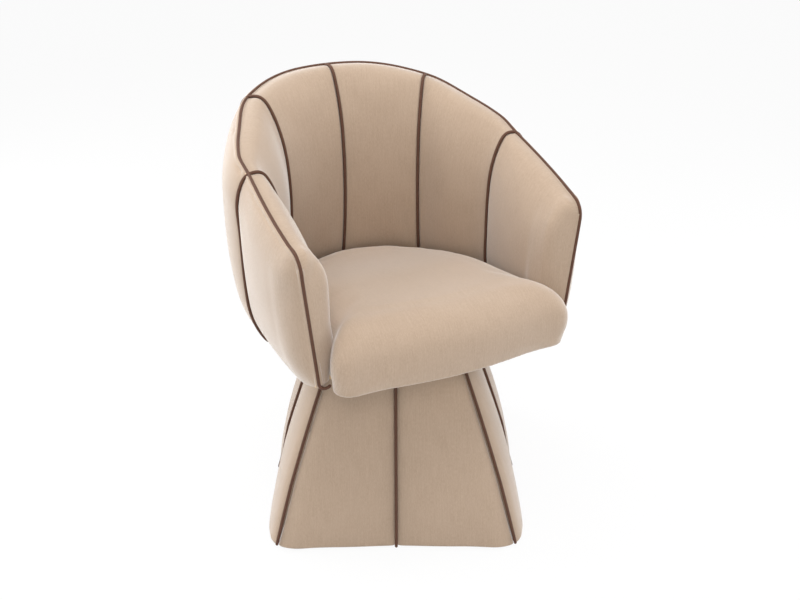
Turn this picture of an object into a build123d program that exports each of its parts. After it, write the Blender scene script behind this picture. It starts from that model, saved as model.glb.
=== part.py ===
"""Swivel armchair: an upholstered tub seat of six petals on a square tapered base.

Millimetres, +Z up.  The origin is on the floor under the swivel axis and the front of
the base faces -Y.  The seat is modelled turned on its swivel by `seat_turn`, as it stands
at rest; its own axes (side, fore-aft) are turned with it.  Left and right are those of
somebody who looks at the front of the chair.
"""
import os
from math import cos, pi, radians, sin, sqrt

from build123d import *

os.makedirs("parts", exist_ok=True)

# Base: a tapered plywood box, padded and covered.
base_half = 232.0         # half width of the covered base at the floor
base_lean = 0.318         # how far each side leans in per mm of height
base_height = 326.0       # floor to the top of the base
base_pad = 20.0           # foam and cover on the plywood sides
base_corner = 46.0        # plan radius of the padded corners
base_belly = 8.0          # outward swell of each cover panel
base_ply = 15.0           # side panels
board_ply = 18.0          # bottom, top and seat boards
glide_height = 4.0        # floor to the bottom board
glide_radius = 14.0
glide_inset = 60.0        # from the edge of the bottom board to a glide
block_leg = 46.0          # legs of the triangular corner blocks
block_height = 70.0
dust_cloth = 0.8          # cloth under the base and under the seat

# Swivel plate: two pressed plates on a ring of balls, held by a central spindle.
swivel_height = 24.0      # top of the base to the underside of the seat board
plate_half = 100.0        # half width of both plates
plate_steel = 3.0
plate_corner = 12.0
race_radius = 66.0        # pitch radius of the balls
race_width = 16.0
ball_radius = 5.0
ball_count = 18
cage_steel = 1.6
cage_gap = 1.0            # cage to the two races, and to their edges
cloth_gap = 2.0           # dust cover of the seat to the upper plate
spindle_radius = 12.0
spindle_stud = 8.0        # ends of the spindle, in the base and in the nut
washer_radius = 20.0
washer_steel = 2.0
nut_height = 8.0
nut_radius = 13.6         # to the corners of the nut
screw_radius = 3.0
screw_head = 6.0
screw_head_height = 3.2
screw_length = 16.0
plate_hole_inset = 16.0   # from the plate edge to a screw

# Tub: a bent plywood wall in the shape of a horseshoe, padded inside and outside.
seat_turn = 25.0          # the seat's turn on its swivel at rest, degrees
tub_radius = 254.0        # wall centre line at the rim, beside the swivel axis
tub_centre = 52.0         # centre of the round back, behind the swivel axis
tub_flare = 0.085         # how far the wall leans out per mm of height
rim_height = 660.0        # top of the wall beside the swivel axis
rim_slope = 0.29          # how far the rim rises per mm towards the back
arm_reach = 200.0         # swivel axis to the front edge of the arms
arm_corner = 30.0         # radius where the arm turns down
wall_ply = 9.0
side_seam = 32.0          # side seams, forward of the centre of the round back
shoulder_seam = 45.9      # shoulder seams, degrees round the back from the side
shoulder_skew = 7.0       # the shoulder seams aim past the centre by this many degrees
side_dent = 11.0          # how much flatter than round the plan is between side and shoulder
back_swell = 3.0          # how much fuller than round it is between shoulder and back
tip_rise = 6.0            # lower front corner of the arm, above the seat board
tip_run = 80.0            # length over which the foot of the wall slopes up to that corner
tip_hook = 12.0           # how far the rim cord hooks in under the arm

# Padding of the tub, as thickness on the wall.
side_pad = 42.0           # inside, at the side seams
shoulder_pad = 67.0       # inside, at the shoulder seams
back_pad = 71.0           # inside, at the back seam
inner_belly = 9.0         # inward swell of a petal between its seams
outer_pad = 33.0          # outside, at the seams
outer_belly = 7.0         # outward swell of a petal between its seams
foot_share = 0.45         # inner padding left at the seat board
tuck = 12.0               # outer padding left at the bottom edge
crest_reach = 0.12        # first point of the padding beside the rim, as a share of its depth
crest_rise = 0.05         # the same point inside, above the rim
crest_fall = 0.1          # the same point outside, below the rim
crest_way = 0.4           # rise of the inner padding where it leaves the rim
roll_drop = 0.65          # end of the inner roll below the rim, as a share of the depth
roll_reach = 0.84         # end of the inner roll inside the wall, as a share of the depth
roll_lean = 0.41          # lean of the inner face where the roll ends
foot_lean = 0.25          # lean of the inner face at the seat board
brow_lean = 0.66          # lean of the outer face where it leaves the rim
belly_drop = 0.42         # widest place outside, as a share of the height from the rim down
hem_lean = 0.75           # lean of the outer face at the hem
hem_drop = 4.0            # outer padding below the seat board
board_corner = 120.0      # front corners of the seat board
board_back = 15.0         # front edge of the seat board behind the arm fronts

# Seat cushion: crowned, and wider in front of the arms.
cushion_rear_gap = 74.0   # round rear end to the middle of the wall at the rim
cushion_side_gap = 49.0   # sides between the arms, at their fronts, to the middle of the wall
neck_back = 2.0           # where the sides start to widen, behind the arm fronts
wing_gap = 37.0           # sides in front of the arms to the middle of the wall at the rim
wing_lead = 28.0          # widest place in front of the arms, past the arm fronts
cushion_lead = 69.0       # front of the cushion past the arm fronts
cushion_bow = 10.0        # how far the front edge falls back beside its middle
bow_share = 0.6           # where it has done so, as a share of the half width
bow_lean = 0.15           # lean of the front edge there
cushion_rise = 88.0       # seat board to the crown over the swivel axis
cushion_tilt = 6.5        # backward slope of the top, degrees
waist_tilt = 0.3          # share of that slope at the widest part
cushion_waist = 24.0      # seat board to the widest part
cushion_boxy = 0.6        # roundness of the upper edge, 1 for an ellipse
crown_inset = 110.0       # edge to the flat of the crown
hem_inset = 8.0           # how far the sides draw in at the seat board
core_inset = 45.0         # edge of the cushion to its firm core
core_height = 22.0

piping_radius = 3.5       # corded seams
cord_gap = 2.0            # seam cords to the rim cord that they start from
cord_fall = 0.25          # slope of the outer seam cords where they start
soft_gap = 0.3            # padding to its neighbours
slip_gap = 0.05           # radial play of the running fit on the spindle
race_gap = 0.1            # play of the balls in their grooves
hole_gap = 0.1            # radial play of screws in their holes

base_top_board = base_height - board_ply
panel_foot = glide_height + board_ply
seat_under = base_height + swivel_height
seat_deck = seat_under + board_ply
race_level = base_height + swivel_height / 2
upper_plate_under = seat_under - plate_steel
piping_lift = piping_radius + soft_gap
seam_lift = piping_radius + 3 * soft_gap
board_front = arm_reach - board_back
tip_height = seat_deck + tip_rise


def turned(side, aft, height=0.0):
    """A point given by the seat's own axes, in the frame of the base."""
    angle = radians(seat_turn)
    return (side * cos(angle) - aft * sin(angle), side * sin(angle) + aft * cos(angle), height)


def seat_level(height, tilt=0.0):
    """A level plane that turns with the seat, or one that slopes down to the back."""
    slope = radians(tilt)
    return Plane(
        origin=(0, 0, height),
        x_dir=turned(1, 0),
        z_dir=turned(0, sin(slope), cos(slope)),
    )


def unit(*parts):
    return Vector(*parts).normalized()


def arc_chain(nodes):
    """Fit two tangent arcs between each pair of nodes; a node is a point and a direction."""
    chain = [nodes[0]]
    for (start, start_way), (stop, stop_way) in zip(nodes, nodes[1:]):
        reach = stop - start
        ways = start_way + stop_way
        bend = 2 * (1 - start_way.dot(stop_way))
        along = 2 * reach.dot(ways)
        if bend < 1e-6:
            handle = reach.dot(reach) / along
        else:
            handle = (sqrt(along**2 + 4 * bend * reach.dot(reach)) - along) / (2 * bend)
        middle = (start + stop + (start_way - stop_way) * handle) * 0.5
        middle_way = (stop - stop_way * handle - start - start_way * handle).normalized()
        chain.append((middle, middle_way))
        chain.append((stop, stop_way))
    return chain


def beside(chain, distance):
    """The chain moved to its left in its own plane."""
    return [(point + Vector(-way.Y, way.X) * distance, way) for point, way in chain]


def lifted(chain, plane):
    """A flat chain laid on a plane."""
    points = [plane.from_local_coords(point) for point, _ in chain]
    ways = [plane.x_dir * way.X + plane.y_dir * way.Y for _, way in chain]
    return list(zip(points, ways))


def draw_chain(chain):
    """Draw a chain in the line block that is open."""
    for (start, way), (stop, _) in zip(chain, chain[1:]):
        reach = stop - start
        if way.cross(reach).length < 1e-4 * reach.length:
            Line(start, stop)
        else:
            TangentArc(start, stop, tangent=way)


def cord(path_block, label):
    """Round piping along the path of a line block."""
    path = path_block.line
    with BuildPart() as piping:
        with BuildSketch(Plane(origin=path @ 0, z_dir=path % 0)):
            Circle(piping_radius)
        sweep(path=path)
    piping.part.label = label
    return piping.part


def hand_in(piece, label):
    piece.label = label
    export_step(piece, f"parts/{label}.step")


def hand_in_group(pieces, label):
    hand_in(Compound(label=label, children=pieces), label)


# Plywood box of the base.
def cover_half(height):
    return base_half - base_lean * height


def box_half(height):
    return cover_half(height) - base_pad


glide_place = box_half(panel_foot) - glide_inset
glide_spots = [(0, 0)]
for side in (-glide_place, glide_place):
    glide_spots += [(side, -glide_place), (side, glide_place)]
with BuildPart() as base_bottom_board:
    with BuildSketch(Plane.XY.offset(glide_height)):
        Rectangle(2 * box_half(panel_foot), 2 * box_half(panel_foot))
    extrude(amount=board_ply)
    with BuildSketch(Plane.XY.offset(glide_height)):
        with Locations(*glide_spots):
            Circle(screw_radius + hole_gap)
    extrude(amount=board_ply, mode=Mode.SUBTRACT)
hand_in(base_bottom_board.part, "base_bottom_board")


def panel_face(height):
    outer = box_half(height)
    inner = outer - base_ply
    return [(-outer, -outer), (outer, -outer), (inner, -inner), (-inner, -inner)]


top_screw_place = box_half(base_top_board) - base_ply / 2
top_screw_span = box_half(base_top_board)
side_names = ("front", "right", "rear", "left")
for number, side_name in enumerate(side_names):
    with BuildPart() as base_panel:
        with BuildSketch(Plane.XY.offset(panel_foot)):
            Polygon(*panel_face(panel_foot), align=None)
        with BuildSketch(Plane.XY.offset(base_top_board)):
            Polygon(*panel_face(base_top_board), align=None)
        loft(ruled=True)
        with BuildSketch(Plane.XY.offset(base_top_board)):
            with Locations((-top_screw_span / 2, -top_screw_place), (top_screw_span / 2, -top_screw_place)):
                Circle(screw_radius / 2 + hole_gap)
        extrude(amount=-screw_length, mode=Mode.SUBTRACT)
    with BuildPart() as placed_panel:
        add(base_panel.part, rotation=(0, 0, 90 * number))
    hand_in(placed_panel.part, f"base_{side_name}_panel")

corner_blocks = []
for number in range(4):
    with BuildPart() as corner_block:
        for height in (panel_foot, panel_foot + block_height):
            corner = box_half(height) - base_ply
            with BuildSketch(Plane.XY.offset(height)):
                leg_end = block_leg - corner
                Polygon((-corner, -corner), (leg_end, -corner), (-corner, leg_end), align=None)
        loft(ruled=True)
    with BuildPart() as placed_block:
        add(corner_block.part, rotation=(0, 0, 90 * number))
    corner_blocks.append(placed_block.part)
hand_in_group(corner_blocks, "base_corner_blocks")

plate_hole = plate_half - plate_hole_inset
with BuildPart() as base_top_board_part:
    with BuildSketch(Plane.XY.offset(base_top_board)):
        Rectangle(2 * box_half(base_height), 2 * box_half(base_height))
    extrude(amount=board_ply)
    with BuildSketch(Plane.XY.offset(base_height)):
        with GridLocations(2 * plate_hole, 2 * plate_hole, 2, 2):
            Circle(screw_radius + hole_gap)
    extrude(amount=-screw_length, mode=Mode.SUBTRACT)
    with BuildSketch(Plane.XY.offset(base_height)):
        for number in range(4):
            with Locations(Location((0, 0, 0), (0, 0, 90 * number))):
                across = top_screw_span / 2
                with Locations((-across, -top_screw_place), (across, -top_screw_place)):
                    Circle(screw_radius / 2 + hole_gap)
    extrude(amount=-board_ply, mode=Mode.SUBTRACT)
    with BuildSketch(Plane.XY.offset(base_height)):
        Circle(spindle_stud + hole_gap)
    extrude(amount=-board_ply / 2, mode=Mode.SUBTRACT)
hand_in(base_top_board_part.part, "base_top_board")

top_screws = []
for number in range(4):
    for side in (-1, 1):
        with BuildPart() as top_screw:
            with BuildSketch(Plane.XY.offset(base_height)):
                Circle(screw_radius / 2)
            extrude(amount=-board_ply - screw_length + hole_gap)
        with BuildPart() as placed_screw:
            with Locations(Location((0, 0, 0), (0, 0, 90 * number))):
                with Locations((side * top_screw_span / 2, -top_screw_place)):
                    add(top_screw.part)
        top_screws.append(placed_screw.part)
hand_in_group(top_screws, "base_top_screws")


# Padded cover panels of the base, two to a side, with corded seams between them.
def corner_seam(height, swell):
    return cover_half(height) + swell - base_corner * (1 - sqrt(0.5))


def cover_outline(height, swell):
    """Half a side of the cover: from the corner seam along the front to the middle seam."""
    half = cover_half(height) + swell
    corner = corner_seam(height, swell)
    start = Vector(corner - soft_gap / 2, -corner - soft_gap / 2)
    belly = Vector(half / 2, -half - base_belly)
    stop = Vector(soft_gap / 2, -half)
    return arc_chain([(start, unit(-1, -1)), (belly, unit(-1, 0)), (stop, unit(-half, 3 * base_belly))])


pad_foot = glide_height + soft_gap
pad_middle = base_height / 2
pad_levels = ((pad_foot, 0.0), (pad_middle, base_belly / 2), (base_height, 0.0))
for number, side_name in enumerate(side_names):
    for half_name in ("a", "b"):
        with BuildPart() as cover_panel:
            for height, swell in pad_levels:
                inner = box_half(height) + soft_gap
                outline = cover_outline(height, swell)
                with BuildSketch(Plane.XY.offset(height)):
                    with BuildLine():
                        draw_chain(outline)
                        Polyline(
                            outline[-1][0],
                            (soft_gap / 2, -inner),
                            (inner - soft_gap, -inner),
                            outline[0][0],
                        )
                    make_face()
            loft()
        with BuildPart() as placed_cover:
            if half_name == "a":
                add(cover_panel.part.mirror(Plane.YZ), rotation=(0, 0, 90 * number))
            else:
                add(cover_panel.part, rotation=(0, 0, 90 * number))
        hand_in(placed_cover.part, f"base_{side_name}_cover_{half_name}")

corner_cords = []
middle_cords = []
for number in range(4):
    corner_lift = sqrt(0.5 + base_lean**2) * piping_lift
    middle_lift = sqrt(1 + base_lean**2) * piping_lift
    with BuildLine(Plane.XY.rotated((0, 0, 90 * number))) as corner_path:
        corner_points = []
        for height, swell in pad_levels:
            corner = corner_seam(height, swell) + corner_lift
            corner_points.append((corner, -corner, height))
        ThreePointArc(*corner_points)
    corner_cords.append(cord(corner_path, "corner_cord"))
    with BuildLine(Plane.XY.rotated((0, 0, 90 * number))) as middle_path:
        fronts = [cover_half(height) + swell + middle_lift for height, swell in pad_levels]
        ThreePointArc(*[(0, -front, level[0]) for front, level in zip(fronts, pad_levels)])
    middle_cords.append(cord(middle_path, "middle_cord"))
hand_in_group(corner_cords, "base_corner_piping")
hand_in_group(middle_cords, "base_middle_piping")

with BuildPart() as base_dust_cover:
    with BuildSketch(Plane.XY.offset(glide_height)):
        Rectangle(2 * box_half(panel_foot), 2 * box_half(panel_foot))
        with Locations(*glide_spots):
            Circle(screw_radius + hole_gap, mode=Mode.SUBTRACT)
    extrude(amount=-dust_cloth)
hand_in(base_dust_cover.part, "base_dust_cover")

# Glides: one near each corner, and one in the middle that keeps the bottom board from sagging.
glides = []
for place in Locations(*glide_spots):
    with BuildPart() as glide:
        with BuildSketch():
            Circle(glide_radius)
        extrude(amount=glide_height - dust_cloth)
        fillet(glide.edges().group_by(Axis.Z)[0], glide_height / 4)
        with BuildSketch(Plane.XY.offset(glide_height - dust_cloth)):
            Circle(screw_radius)
        extrude(amount=board_ply)
    glides.append(glide.part.moved(place))
hand_in_group(glides, "base_glides")


# Swivel plate.
def plate_outline():
    RectangleRounded(2 * plate_half, 2 * plate_half, plate_corner)


race_height = swivel_height / 2 - plate_steel - cage_steel / 2 - cage_gap
with BuildPart() as lower_swivel_plate:
    with BuildSketch(Plane.XY.offset(base_height)):
        plate_outline()
        with GridLocations(2 * plate_hole, 2 * plate_hole, 2, 2):
            Circle(screw_radius + hole_gap, mode=Mode.SUBTRACT)
        Circle(spindle_radius + hole_gap, mode=Mode.SUBTRACT)
    extrude(amount=plate_steel)
    with BuildSketch(Plane.XY.offset(base_height + plate_steel)):
        Circle(race_radius + race_width / 2)
        Circle(race_radius - race_width / 2, mode=Mode.SUBTRACT)
    extrude(amount=race_height)
    with BuildSketch(Plane.XZ):
        with Locations((race_radius, race_level)):
            Circle(ball_radius + race_gap)
    revolve(axis=Axis.Z, mode=Mode.SUBTRACT)
hand_in(lower_swivel_plate.part, "lower_swivel_plate")


washer_foot = seat_under + soft_gap
stud_end = washer_foot + washer_steel + nut_height + plate_steel
with BuildPart() as swivel_spindle:
    with BuildSketch(Plane.XY.offset(base_height - board_ply / 2)):
        Circle(spindle_stud)
    extrude(amount=stud_end - base_height + board_ply / 2)
    with BuildSketch(Plane.XY.offset(base_height)):
        Circle(spindle_radius)
    extrude(amount=swivel_height + soft_gap)
hand_in(swivel_spindle.part, "swivel_spindle")

with BuildPart() as spindle_washer:
    with BuildSketch(Plane.XY.offset(washer_foot)):
        Circle(washer_radius)
        Circle(spindle_stud + hole_gap, mode=Mode.SUBTRACT)
    extrude(amount=washer_steel)
hand_in(spindle_washer.part, "spindle_washer")

with BuildPart() as spindle_nut:
    with BuildSketch(Plane.XY.offset(washer_foot + washer_steel)):
        RegularPolygon(nut_radius, 6)
        Circle(spindle_stud + hole_gap, mode=Mode.SUBTRACT)
    extrude(amount=nut_height)
hand_in(spindle_nut.part, "spindle_nut")

lower_screws = []
for place in GridLocations(2 * plate_hole, 2 * plate_hole, 2, 2):
    with BuildPart() as lower_screw:
        with BuildSketch(Plane.XY.offset(base_height + plate_steel)):
            Circle(screw_head)
        extrude(amount=screw_head_height)
        fillet(lower_screw.edges().group_by(Axis.Z)[-1], screw_head_height / 2)
        with BuildSketch(Plane.XY.offset(base_height + plate_steel)):
            Circle(screw_radius)
        extrude(amount=hole_gap - screw_length - plate_steel)
    lower_screws.append(lower_screw.part.moved(place))
hand_in_group(lower_screws, "lower_plate_screws")

cage_half = race_width / 2 - cage_gap
with BuildPart() as ball_cage:
    with BuildSketch(Plane.XY.offset(race_level - cage_steel / 2)):
        Circle(race_radius + cage_half)
        Circle(race_radius - cage_half, mode=Mode.SUBTRACT)
        with PolarLocations(race_radius, ball_count):
            Circle(ball_radius + race_gap, mode=Mode.SUBTRACT)
    extrude(amount=cage_steel)
hand_in(ball_cage.part, "ball_cage")

balls = []
for place in PolarLocations(race_radius, ball_count):
    with BuildPart() as ball:
        Sphere(ball_radius)
    balls.append(ball.part.moved(Location((0, 0, race_level)) * place))
hand_in_group(balls, "bearing_balls")

with BuildPart() as upper_swivel_plate:
    with BuildSketch(seat_level(upper_plate_under)):
        plate_outline()
        with GridLocations(2 * plate_hole, 2 * plate_hole, 2, 2):
            Circle(screw_radius + hole_gap, mode=Mode.SUBTRACT)
    extrude(amount=plate_steel)
    with BuildSketch(seat_level(upper_plate_under)):
        Circle(race_radius + race_width / 2)
        Circle(race_radius - race_width / 2, mode=Mode.SUBTRACT)
    extrude(amount=-race_height)
    with BuildSketch(Plane.XZ):
        with Locations((race_radius, race_level)):
            Circle(ball_radius + race_gap)
    revolve(axis=Axis.Z, mode=Mode.SUBTRACT)
    with BuildSketch(seat_level(upper_plate_under)):
        Circle(washer_radius)
    extrude(amount=-race_height)
    with BuildSketch(seat_level(seat_under)):
        Circle(spindle_radius + slip_gap)
    extrude(amount=-swivel_height, mode=Mode.SUBTRACT)
hand_in(upper_swivel_plate.part, "upper_swivel_plate")

upper_bolts = []
for place in GridLocations(2 * plate_hole, 2 * plate_hole, 2, 2):
    with BuildPart() as upper_bolt:
        with BuildSketch(Plane.XY.offset(upper_plate_under)):
            Circle(screw_head)
        extrude(amount=-screw_head_height)
        fillet(upper_bolt.edges().group_by(Axis.Z)[0], screw_head_height / 2)
        with BuildSketch(Plane.XY.offset(upper_plate_under)):
            Circle(screw_radius)
        extrude(amount=plate_steel + screw_length - hole_gap)
    upper_bolts.append(upper_bolt.part.moved(Location((0, 0, 0), (0, 0, seat_turn)) * place))
hand_in_group(upper_bolts, "upper_plate_bolts")


# Wall of the tub, bent plywood that leans out and is cut to the line of the rim.
def wall_at(height):
    """Half width of the tub to the middle of the wall, and its radius round the back."""
    return tub_radius + tub_flare * (height - rim_height)


def plan_swell(turn):
    """How far outside a round plan the wall is, at a turn round the back in degrees."""
    if turn <= 0:
        return 0.0
    if turn < shoulder_seam:
        return -side_dent * sin(pi * turn / shoulder_seam) ** 2
    return back_swell * sin(pi * (turn - shoulder_seam) / (90 - shoulder_seam)) ** 2


def rim_aft(turn):
    """How far behind the swivel axis the rim is, at a turn round the back in degrees."""
    bow = sin(radians(turn))
    return (tub_centre + (tub_radius + plan_swell(turn)) * bow) / (1 - tub_flare * rim_slope * bow)


plan_turns = (0, shoulder_seam / 2, shoulder_seam, (shoulder_seam + 90) / 2, 90)


def draw_tub_plan(half, front):
    """Draw the plan of the tub in the line block that is open: round behind, square in front."""
    nodes = []
    for turn in plan_turns:
        angle = radians(turn)
        reach = half + plan_swell(turn)
        spot = Vector(reach * cos(angle), tub_centre + reach * sin(angle))
        nodes.append((spot, unit(-sin(angle), cos(angle))))
    other_half = [(Vector(-point.X, point.Y), Vector(way.X, -way.Y)) for point, way in reversed(nodes)]
    draw_chain(arc_chain(nodes + other_half[1:]))
    Polyline((-half, tub_centre), (-half, -front), (half, -front), (half, tub_centre))


def tub_block(from_middle):
    """Everything inside the wall, to a distance from the middle of the wall."""
    with BuildPart() as block:
        for height in (block_foot, block_head):
            with BuildSketch(seat_level(height)):
                with BuildLine():
                    draw_tub_plan(wall_at(height) + from_middle, open_front)
                make_face()
        loft(ruled=True)
    return block.part


rim_run = sqrt(1 + rim_slope**2)
corner_aft = arm_corner - arm_reach
corner_height = rim_height + rim_slope * corner_aft - arm_corner * rim_run
corner_end_aft = corner_aft - arm_corner * rim_slope / rim_run
corner_end_height = corner_height + arm_corner / rim_run
block_foot = seat_under - 2 * hem_drop
block_head = rim_height + tub_radius
wall_half_ply = wall_ply / 2
open_front = 2 * arm_reach
far_aft = 2 * tub_radius
with BuildPart() as tub_wall:
    add(tub_block(wall_half_ply))
    add(tub_block(-wall_half_ply), mode=Mode.SUBTRACT)
    with BuildSketch(Plane(origin=(0, 0, 0), x_dir=turned(0, 1), z_dir=turned(1, 0))):
        with BuildLine():
            TangentArc((-arm_reach, corner_height), (corner_end_aft, corner_end_height), tangent=(0, 1))
            Polyline(
                (corner_end_aft, corner_end_height),
                (far_aft, rim_height + rim_slope * far_aft),
                (far_aft, seat_under),
                (tip_run - arm_reach, seat_under),
                (-arm_reach, tip_height),
                (-arm_reach, corner_height),
            )
        make_face()
    extrude(amount=far_aft, both=True, mode=Mode.INTERSECT)
hand_in(tub_wall.part, "tub_wall")

with BuildPart() as seat_board:
    with BuildSketch(seat_level(seat_under)):
        with BuildLine():
            draw_tub_plan(wall_at(seat_under) - wall_half_ply - 2 * hole_gap, board_front)
        make_face()
        Circle(washer_radius + plate_steel, mode=Mode.SUBTRACT)
    extrude(amount=board_ply)
    fore_aft = Axis((0, 0, 0), turned(0, 1))
    fillet(seat_board.edges().filter_by(Axis.Z).sort_by(fore_aft)[:2], board_corner)
    with BuildSketch(seat_level(seat_under)):
        with GridLocations(2 * plate_hole, 2 * plate_hole, 2, 2):
            Circle(screw_radius + hole_gap)
    extrude(amount=screw_length, mode=Mode.SUBTRACT)
hand_in(seat_board.part, "seat_board")

with BuildPart() as seat_dust_cover:
    with BuildSketch(seat_level(seat_under)):
        with BuildLine():
            draw_tub_plan(wall_at(seat_under) - wall_ply, board_front)
        make_face()
        cut_out = 2 * (plate_half + cloth_gap)
        RectangleRounded(cut_out, cut_out, plate_corner, mode=Mode.SUBTRACT)
    extrude(amount=-dust_cloth)
    fillet(seat_dust_cover.edges().filter_by(Axis.Z).sort_by(fore_aft)[:2], board_corner)
hand_in(seat_dust_cover.part, "seat_dust_cover")


# Padding of the tub: sections across the wall, one at each seam and three between.
arm_run = arm_reach + tub_centre - side_seam
side_seam_aft = tub_centre - side_seam


class Section:
    """An upright plane across the wall, with the padding that it cuts."""

    def __init__(self, side, spot, way, rim, inner, outer, hem, lift=0.0):
        self.plane_spot = spot
        self.way = way
        self.side = side
        self.rim = rim
        self.inner = inner
        self.outer = outer
        self.hem = hem
        self.lift = lift

    def plane(self, shift=0.0):
        along = (self.side * -self.way[1], self.side * self.way[0])
        spot = (self.plane_spot[0] + shift * along[0], self.plane_spot[1] + shift * along[1])
        across = turned(*self.way)
        return Plane(origin=turned(*spot), x_dir=across, z_dir=(across[1], -across[0], 0))

    def wall(self, height):
        return tub_flare * (self.rim - height)

    def inner_chain(self):
        """From the rim over the roll and down the inside; the last two lines stand on the seat board."""
        depth = self.inner - wall_half_ply
        roll = self.rim - roll_drop * depth
        middle = (seat_deck + self.rim) / 2
        foot = seat_deck + soft_gap + 2 * piping_radius + self.lift
        crest = Vector(wall_half_ply + crest_reach * depth, self.rim + crest_rise * depth)
        foot_way = unit(-foot_lean, -1)
        foot_spot = Vector(self.wall(foot) + wall_half_ply + foot_share * depth, foot)
        return arc_chain([
            (crest, unit(1, crest_way)),
            (Vector(self.wall(roll) + wall_half_ply + roll_reach * depth, roll), unit(roll_lean, -1)),
            (Vector(self.wall(middle) + self.inner, middle), unit(0, -1)),
            (foot_spot, foot_way),
            (foot_spot + Vector(-foot_lean, -1) * 2 * piping_radius, foot_way),
        ])

    def outer_chain(self):
        """From the rim over the belly and in to the hem."""
        depth = self.outer - wall_half_ply
        belly = self.rim - belly_drop * (self.rim - seat_under)
        crest = Vector(-wall_half_ply - crest_reach * depth, self.rim - crest_fall * depth)
        return arc_chain([
            (crest, unit(-brow_lean, -1)),
            (Vector(self.wall(belly) - self.outer, belly), unit(0, -1)),
            (Vector(self.wall(self.hem) - tuck, self.hem), unit(hem_lean, -1)),
        ])

    def inner_cord(self):
        """Middle of the corded seam inside, from beside the rim cord to the seat board."""
        start = Vector(piping_radius + cord_gap, self.rim + piping_lift + cord_gap)
        seam = beside(self.inner_chain()[:-2], seam_lift)
        return arc_chain([(start, unit(1, crest_way)), seam[0]])[:-1] + seam

    def outer_cord(self):
        """Middle of the corded seam outside, from beside the rim cord to the hem."""
        start = Vector(-piping_radius - cord_gap, self.rim + piping_lift + cord_gap)
        seam = beside(self.outer_chain(), -seam_lift)
        return arc_chain([(start, unit(-1, -cord_fall)), seam[0]])[:-1] + seam


def arm_section(side, share):
    """A section of the arm; share runs from the side seam to the front edge."""
    aft = side_seam_aft - share * arm_run
    rim = rim_height + rim_slope * aft
    if aft < corner_end_aft:
        rim = corner_height + sqrt(arm_corner**2 - (aft - corner_aft) ** 2)
    fullness = sqrt(1 - share**2)
    swell = 4 * share * (1 - share)
    inner = wall_half_ply + (side_pad - wall_half_ply) * fullness + inner_belly * swell
    outer = wall_half_ply + (outer_pad - wall_half_ply) * fullness + outer_belly * swell
    hem = seat_under - hem_drop
    hem += (tip_height - hem) * share**4
    lift = tip_rise * share**4
    return Section(side, (side * wall_at(rim), aft), (-side, 0), rim, inner, outer, hem, lift)


def back_section(side, turn, pad, swell):
    """A section of the round back; turn runs from the side to the back seam, degrees."""
    angle = radians(turn)
    aft = rim_aft(turn)
    rim = rim_height + rim_slope * aft
    if turn < shoulder_seam:
        aim = radians(turn + shoulder_skew * turn / shoulder_seam)
    else:
        aim = radians(turn + shoulder_skew * (90 - turn) / (90 - shoulder_seam))
    spot = (side * (wall_at(rim) + plan_swell(turn)) * cos(angle), aft)
    way = (-side * cos(aim), -sin(aim))
    inner = pad + inner_belly * swell
    outer = outer_pad + outer_belly * swell
    return Section(side, spot, way, rim, inner, outer, seat_under - hem_drop)


def side_sections(side):
    """From the side seam to the shoulder seam."""
    arc_run = tub_radius * radians(shoulder_seam)
    sections = [arm_section(side, 0)]
    for share in (0.25, 0.5, 0.75, 1.0):
        turn = shoulder_seam * (share * (side_seam + arc_run) - side_seam) / arc_run
        pad = side_pad + (shoulder_pad - side_pad) * share
        sections.append(back_section(side, turn, pad, 4 * share * (1 - share)))
    return sections


def back_sections(side):
    """From the shoulder seam to the back seam."""
    sections = []
    for share in (0.0, 0.25, 0.5, 0.75, 1.0):
        turn = shoulder_seam + (90 - shoulder_seam) * share
        pad = shoulder_pad + (back_pad - shoulder_pad) * share
        sections.append(back_section(side, turn, pad, 4 * share * (1 - share)))
    return sections


def arm_sections(side):
    """From the front edge to the side seam."""
    return [arm_section(side, share) for share in (0.995, 0.97, 0.9, 0.78, 0.6, 0.4, 0.2, 0.05, 0)]


inner_room = tub_block(-wall_half_ply - soft_gap)
outer_limit = tub_block(wall_half_ply + soft_gap)


def padded_block(sections, chains):
    """Padding from the middle of the wall to the chains; its two ends give way for the seams."""
    with BuildPart() as block:
        for number, (section, chain) in enumerate(zip(sections, chains)):
            top, foot = chain[0][0], chain[-1][0]
            shift = soft_gap / 2 * ((number == len(sections) - 1) - (number == 0))
            with BuildSketch(section.plane(shift)):
                with BuildLine():
                    draw_chain(chain)
                    Polyline(foot, (section.wall(foot.Y), foot.Y), (0, section.rim - wall_ply), top)
                make_face()
        loft()
    return block.part


def inner_petal(sections):
    with BuildPart() as petal:
        add(padded_block(sections, [section.inner_chain() for section in sections]))
        add(inner_room, mode=Mode.INTERSECT)
        split(bisect_by=Plane.XY.offset(seat_deck), keep=Keep.TOP)
    return petal.part


def outer_petal(sections):
    with BuildPart() as petal:
        add(padded_block(sections, [section.outer_chain() for section in sections]))
        add(outer_limit, mode=Mode.SUBTRACT)
    return petal.part


for side, side_name in ((-1, "left"), (1, "right")):
    for place_name, sections in (
        ("arm", arm_sections(side)),
        ("side", side_sections(side)),
        ("back", back_sections(side)),
    ):
        hand_in(inner_petal(sections), f"inner_{side_name}_{place_name}")
        hand_in(outer_petal(sections), f"outer_{side_name}_{place_name}")

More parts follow.
